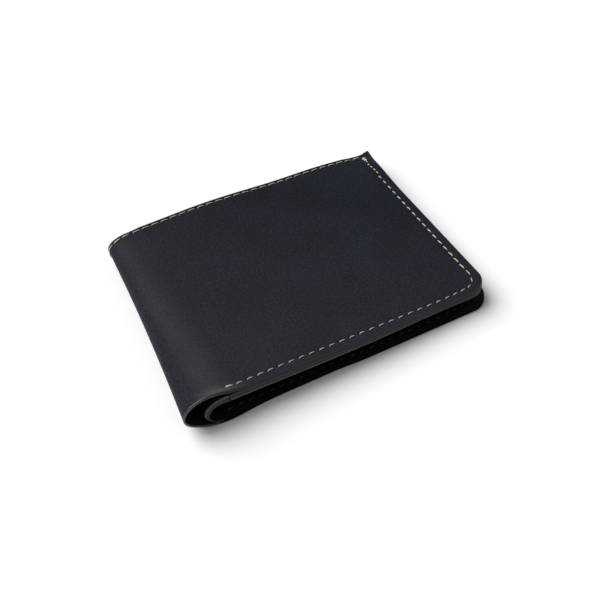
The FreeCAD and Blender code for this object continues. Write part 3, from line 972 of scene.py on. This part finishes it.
def build_upper():
    plan = outline(FOLD_UPPER, FREE_UPPER, MOUTH, CORNER, ear=EAR_TOP, flare=True)
    plate("outer_shell_top", plan, upper_top, below_outer(SHELL), SHELL_LOOK,
          rounding=(0.45, 0.32), fine=0.34, coarse=1.1, band=5.2)
    inset = outline(FOLD_UPPER, FREE_UPPER - 0.12, MOUTH - 0.3, CORNER, ear=EAR_TOP - 0.3,
                    flare=True, y_low=NEAR + 0.12)
    plate("shell_lining_top", inset, below_outer(SHELL), below_outer(SHELL, LINING),
          LINING_LOOK, rounding=(0.06, 0.04), fine=1.5, coarse=2.5,
          rests_on=["outer_shell_top"])
    mouths = {"bill_divider": DIVIDER_TOP, "inner_panel": PANEL_TOP,
              "pocket_lining": MOUTHS["rear"] - 0.2}
    roundings = {"bill_divider": (0.32, 0.03), "inner_panel": (0.03, 0.1),
                 "pocket_lining": (0.02, 0.02), "card_pocket_front": (0.05, 0.16)}
    looks = {"pocket_lining": LINING_LOOK, "card_pocket_front": FRONT_LOOK}
    for name in INNER_LAYERS:
        pocket = name.startswith("card_pocket")
        lining = name == "pocket_lining"
        on_panel = pocket or lining
        mouth = MOUTHS[name.split("_")[-1]] if pocket else mouths[name]
        plan = outline(STACK_START + 0.1 if on_panel else STACK_START, FREE_UPPER, mouth, CORNER,
                       step=0.8 if pocket else 1.0, square=on_panel, flare=True)
        mouth = plan[0][:, 1].max()
        outside, inside = LEVELS_U[name]
        face = upper_level(inside, SEAM_U[1:] + SIDE_U if pocket or name == "inner_panel" else ())

        def low(x, y, face=face, mouth=mouth, pocket=pocket):
            return face(x, y) + crease(y, mouth) if pocket else face(x, y)

        plate(name + "_top", plan, upper_level(outside), low,
              looks.get(name, INNER_LOOK),
              rounding=roundings.get(name, (0.05, 0.06)), fine=0.6 if pocket else 0.9,
              coarse=2.2, band=4.2, rows=(mouth - 1.4,) if pocket else (),
              rests_on=["inner_panel_top"] if lining else (),
              mouth_slot=3 if name == "card_pocket_front" else 1)


def gap_paths(stitches, radius=0.21):
    """Stitches on the upper half's inside, each on the layer that faces the gap there."""
    paths = []
    for stitch in stitches:
        inside = LEVELS_U[pocket_at(stitch[1]) or "inner_panel"][1]
        paths += row_paths([stitch], upper_level(inside), -1, radius, rise=0.12, sink=0.3)
    return paths


def sew_upper():
    top = below_outer(0.05)
    x, y = SEAM_U[0][:2]
    bottom = row_paths(SEAM_U, top)
    bottom += gap_paths(SEAM_U[2:])
    bottom += row_paths([(x + 0.35, y - 0.28, -3.0, 2.5)], below_outer(0.02))   # backstitch
    thread_object("bottom_seam_thread_top", bottom, THREAD)
    side = row_paths(SIDE_U, top, radius=0.215)
    side += gap_paths([s for s in SIDE_U if s[1] < PANEL_TOP - 2])
    thread_object("side_seam_thread_top", side, THREAD_SIDE)
    hem = row_paths(HEM_U, top, rise=0.14, radius=0.19)
    hem += row_paths(HEM_U, below_outer(SHELL, LINING), side=-1, radius=0.2)
    thread_object("mouth_hem_thread_top", hem, THREAD_TAN)
    tack = tack_paths(FREE_UPPER - SIDE_MARGIN + 1.15, outer_face)
    thread_object("corner_tack_top", tack, THREAD_TAN)
    edge = box_mm("card_pocket_rear_upper")[0][0] + POCKET_MARGIN
    paths = gap_paths([(edge, y, 90.0, STITCH) for y in pocket_stitch_ys(NEAR + 7.5)], 0.2)
    thread_object("card_pocket_thread_top", paths, THREAD)


# ---- lower half ----
SEAM_L = [(x - 0.9, y - 0.9 * float(smooth((x + 40) / 18)), angle, length)
          for x, y, angle, length in bottom_seam(FREE_LOWER - FREE_UPPER - 1.0)]
SEAM_L.insert(0, (SEAM_L[0][0] - PITCH, SEAM_L[0][1] - 0.3, 0.0, STITCH))
SIDE_L = side_seam(FREE_LOWER - FREE_UPPER)
HEM_L = hem_seam(FOLD_LOWER + 0.3, FREE_LOWER - SIDE_MARGIN - 1.8)


def flat_at(z):
    """A level face at height z."""
    return lambda x, y: np.full_like(x, z)


def build_lower():
    outer = SEAM_L + SIDE_L + HEM_L
    # Its cut edge carries the edge colour with painted shade.
    plate("outer_shell_base", outline(FOLD_LOWER, FREE_LOWER, MOUTH, CORNER), flat_at(SHELL),
          lambda x, y: dent(x, y, outer, 0.3),
          (FLESH, SHADED_EDGE, OUTER_LEATHER), rounding=(0.1, 0.45), fine=0.45, coarse=2.0,
          band=5.2)
    plate("shell_lining_base",
          outline(FOLD_LOWER, FREE_LOWER - 0.1, MOUTH - 0.3, CORNER, step=1.0),
          flat_at(SHELL + LINING), flat_at(SHELL), SHADED_LINING_LOOK,
          rounding=(0.06, 0.04), fine=1.5, coarse=3.0, rests_on=["outer_shell_base"])
    sunk = SEAM_L[1:] + [s for s in SIDE_L if s[1] < PANEL_TOP]
    for name, top_y in (("bill_divider", DIVIDER_TOP), ("inner_panel", PANEL_TOP)):
        low, high = LOWER_LEVELS[name]
        panel = name == "inner_panel"

        def top(x, y, high=high, stitches=sunk if panel else []):
            return high - dent(x, y, stitches, 0.12)

        plate(name + "_base", outline(PANEL_FOLD_LOWER, FREE_LOWER, top_y, CORNER, step=0.8),
              top, flat_at(low), LOWER_LOOK, rounding=(0.14, 0.05),
              fine=0.5 if panel else 0.9, coarse=2.2, band=4.5)
    block = block_rows()
    for name in INNER_LAYERS[2:]:
        low, high = LOWER_LEVELS[name]
        lining = name == "pocket_lining"
        mouth = MOUTHS["rear"] - 0.2 if lining else MOUTHS[name.split("_")[-1]]
        held = [s[:4] for s in block if s[4] == name]

        def top(x, y, high=high, mouth=mouth, held=held, lining=lining):
            face = np.full_like(x, high)
            return face if lining else face - crease(y, mouth) - dent(x, y, held, 0.1)

        plate(name + "_base",
              outline(BLOCK_LOW[0], BLOCK_HIGH[0], mouth, 3.0, y_low=BLOCK_LOW[1], step=0.8,
                      square=True),
              top, flat_at(low),
              SHADED_LINING_LOOK if lining else INNER_LOOK,
              rounding=(0.05, 0.05) if lining else (0.13, 0.05), fine=0.5, coarse=2.2,
              band=3.5, rows=(mouth - 1.4,), rests_on=["inner_panel_base"] if lining else ())


def block_rows():
    """Stitches round the lower card pockets, each with the pocket that it goes through."""
    rows = []
    left = BLOCK_LOW[0] + POCKET_MARGIN
    right = BLOCK_HIGH[0] - POCKET_MARGIN
    for y in pocket_stitch_ys(BLOCK_LOW[1] + 4.4):
        rows += [(x, y, 90.0, STITCH, pocket_at(y)) for x in (left, right)]
    x = left + 2.6
    while x < right - 2:
        rows.append((x, BLOCK_LOW[1] + 1.6, 0.0, STITCH, "card_pocket_front"))
        x += PITCH
    return rows


def base_paths(stitches):
    """Stitches on the underside, sunk flush with the shell so that it lies flat."""
    return row_paths(stitches, flat_at(0.30), side=-1, rise=0.0, sink=-0.2, radius=0.22)


def sew_lower():
    on_panel = flat_at(LOWER_LEVELS["inner_panel"][1])
    # The bottom and side seams use the thread colour with painted shade.
    bottom = base_paths(SEAM_L)
    bottom += row_paths(SEAM_L[1:], on_panel, rise=0.1)
    thread_object("bottom_seam_thread_base", bottom, THREAD_SHADED)
    side = base_paths(SIDE_L)
    side += row_paths([s for s in SIDE_L if s[1] < PANEL_TOP - 2], on_panel, rise=0.1)
    thread_object("side_seam_thread_base", side, THREAD_SHADED)
    hem = base_paths(HEM_L)
    hem += row_paths(HEM_L, flat_at(SHELL + LINING), radius=0.2)
    thread_object("mouth_hem_thread_base", hem, THREAD_TAN)
    tack = tack_paths(FREE_LOWER - SIDE_MARGIN, flat_at(0.62), side=-1)
    thread_object("corner_tack_base", tack, THREAD_TAN)
    paths = []
    for s in block_rows():
        paths += row_paths([s[:4]], flat_at(LOWER_LEVELS[s[4]][1]), rise=0.09, radius=0.2)
    thread_object("card_pocket_thread_base", paths, THREAD)


# ---- the fold ----
def shell_thickness(t):
    """The shell is thinned where it bends."""
    return SHELL - 0.3 * np.sin(math.pi * np.clip(t * 1.05, 0, 1)) ** 2


def build_fold():
    fold_band("outer_shell_fold", shell_section(0.0), shell_thickness, NEAR, MOUTH,
              (OUTER_LEATHER, RIM_EDGE, FLESH), SHELL_BLEND, rounding=0.6)
    section = shell_section(LINING_INSET)
    low_y, high_y = NEAR + 0.35, MOUTH - 0.3
    lining = fold_band("shell_lining_fold", section, lambda t: np.full_like(t, LINING), low_y,
                       high_y, SHADED_LINING_LOOK, LINING_BLEND, rounding=0.1)
    arcs = np.array([section(y, FOLD_STEPS)[2][-1] for y in np.linspace(low_y, high_y, 41)])
    low, high = LOWER_LEVELS["bill_divider"]
    divider = curl_thickness(high - low - 0.1, 1.1, 1.3)
    level = LEVELS_U["bill_divider"][0]
    fold_band("bill_divider_fold", inner_section(low, level), divider, NEAR, DIVIDER_TOP,
              CURL_LOOK, BAND_BLEND, nose=0.5, tucked=7)
    low_panel, high_panel = LOWER_LEVELS["inner_panel"]
    panel = curl_thickness(high_panel - low_panel - 0.2, 1.05, 1.3)
    fold_band("inner_panel_fold", inner_section(low, level, divider), panel, NEAR, PANEL_TOP,
              TUCK_LOOK, BAND_BLEND, nose=0.9, tucked=20)


def sew_fold():
    """Hem stitches that go round the fold."""
    y = MOUTH - HEM_MARGIN
    curve, normals, length = shell_section(0.0)(y, 200)
    s = np.linspace(-1, 1, STITCH_POINTS)
    arch = 0.12 * (1 - np.abs(s) ** 3.2) - 0.34 * np.abs(s) ** 7
    middle = STITCH_POINTS // 2
    paths = []
    first = length[-1] - PITCH * 0.62
    while first > 3.0:
        places = first + s * 1.55
        x, z = (np.interp(places, length, values) for values in curve.T)
        nx, nz = (np.interp(places, length, values) for values in normals.T)
        path = np.column_stack([x + nx * arch, y + 0.10 * s, z + nz * arch])
        if path[:, 2].min() > 0.3:
            paths.append((path, (nx[middle], 0.0, nz[middle]), 0.25))
        first -= PITCH
    thread_object("mouth_hem_thread_fold", paths, THREAD_TAN, SHELL_BLEND)


# ---- floor, light and camera ----
FLOOR_HALF = 6.0                    # metres, like the rest of this section
FLOOR_GAP = 0.00005                 # keeps the floor clear of the underside
WORLD_STRENGTH = 0.25
KEY_SUN = (3.42, 54, (-0.42, 0.53, 0.78))           # energy, spread in degrees, direction
OVERHEAD_SUN = (0.13, 28, (-0.42, -0.24, 0.87))
LENS = 58.31
CAMERA_PLACE = (-0.09108, -0.23766, 0.25026)
CAMERA_TURN = (21.77, 45.66, 6.58)                  # azimuth, elevation and roll, in degrees


def build_floor():
    mesh = bpy.data.meshes.new("floor")
    far = FLOOR_HALF
    mesh.from_pydata([(-far, -far, 0), (far, -far, 0), (far, far, 0), (-far, far, 0)], [],
                     [(0, 1, 2, 3)])
    floor = linked("floor", mesh)
    floor.location.z = -FLOOR_GAP
    n = Nodes("floor_paper", 0.0)
    n.shader.inputs["Roughness"].default_value = 0.95
    tone = n.ramp(n.noise(n.place(), 3.0, 2.0), [(0.3, (0.93,) * 3), (0.7, (0.95,) * 3)])
    mesh.materials.append(n.finish(tone))


def add_sun(name, energy, spread, direction):
    sun = bpy.data.lights.new(name, "SUN")
    sun.energy = energy
    sun.angle = math.radians(spread)
    linked(name, sun).rotation_euler = Vector(direction).to_track_quat("Z", "Y").to_euler()


def build_studio():
    scene = bpy.context.scene
    scene.world = bpy.data.worlds.new("studio")
    scene.world.use_nodes = True
    background = scene.world.node_tree.nodes["Background"]
    background.inputs["Color"].default_value = (1.0, 1.0, 1.0, 1.0)
    background.inputs["Strength"].default_value = WORLD_STRENGTH
    add_sun("key", *KEY_SUN)
    add_sun("overhead", *OVERHEAD_SUN)

    camera = bpy.data.cameras.new("camera")
    camera.lens = LENS
    camera.sensor_width = 36.0
    camera.clip_start = 0.01
    azimuth, elevation, roll = map(math.radians, CAMERA_TURN)
    ahead = Vector((math.sin(azimuth) * math.cos(elevation),
                    math.cos(azimuth) * math.cos(elevation), -math.sin(elevation)))
    turn = ahead.to_track_quat("-Z", "Y").to_matrix() @ Matrix.Rotation(-roll, 3, "Z")
    obj = linked("camera", camera)
    obj.matrix_world = Matrix.Translation(Vector(CAMERA_PLACE)) @ turn.to_4x4()
    scene.camera = obj
    scene.view_settings.view_transform = "Standard"


build_upper()
sew_upper()
build_lower()
sew_lower()
build_fold()
sew_fold()
build_floor()
build_studio()
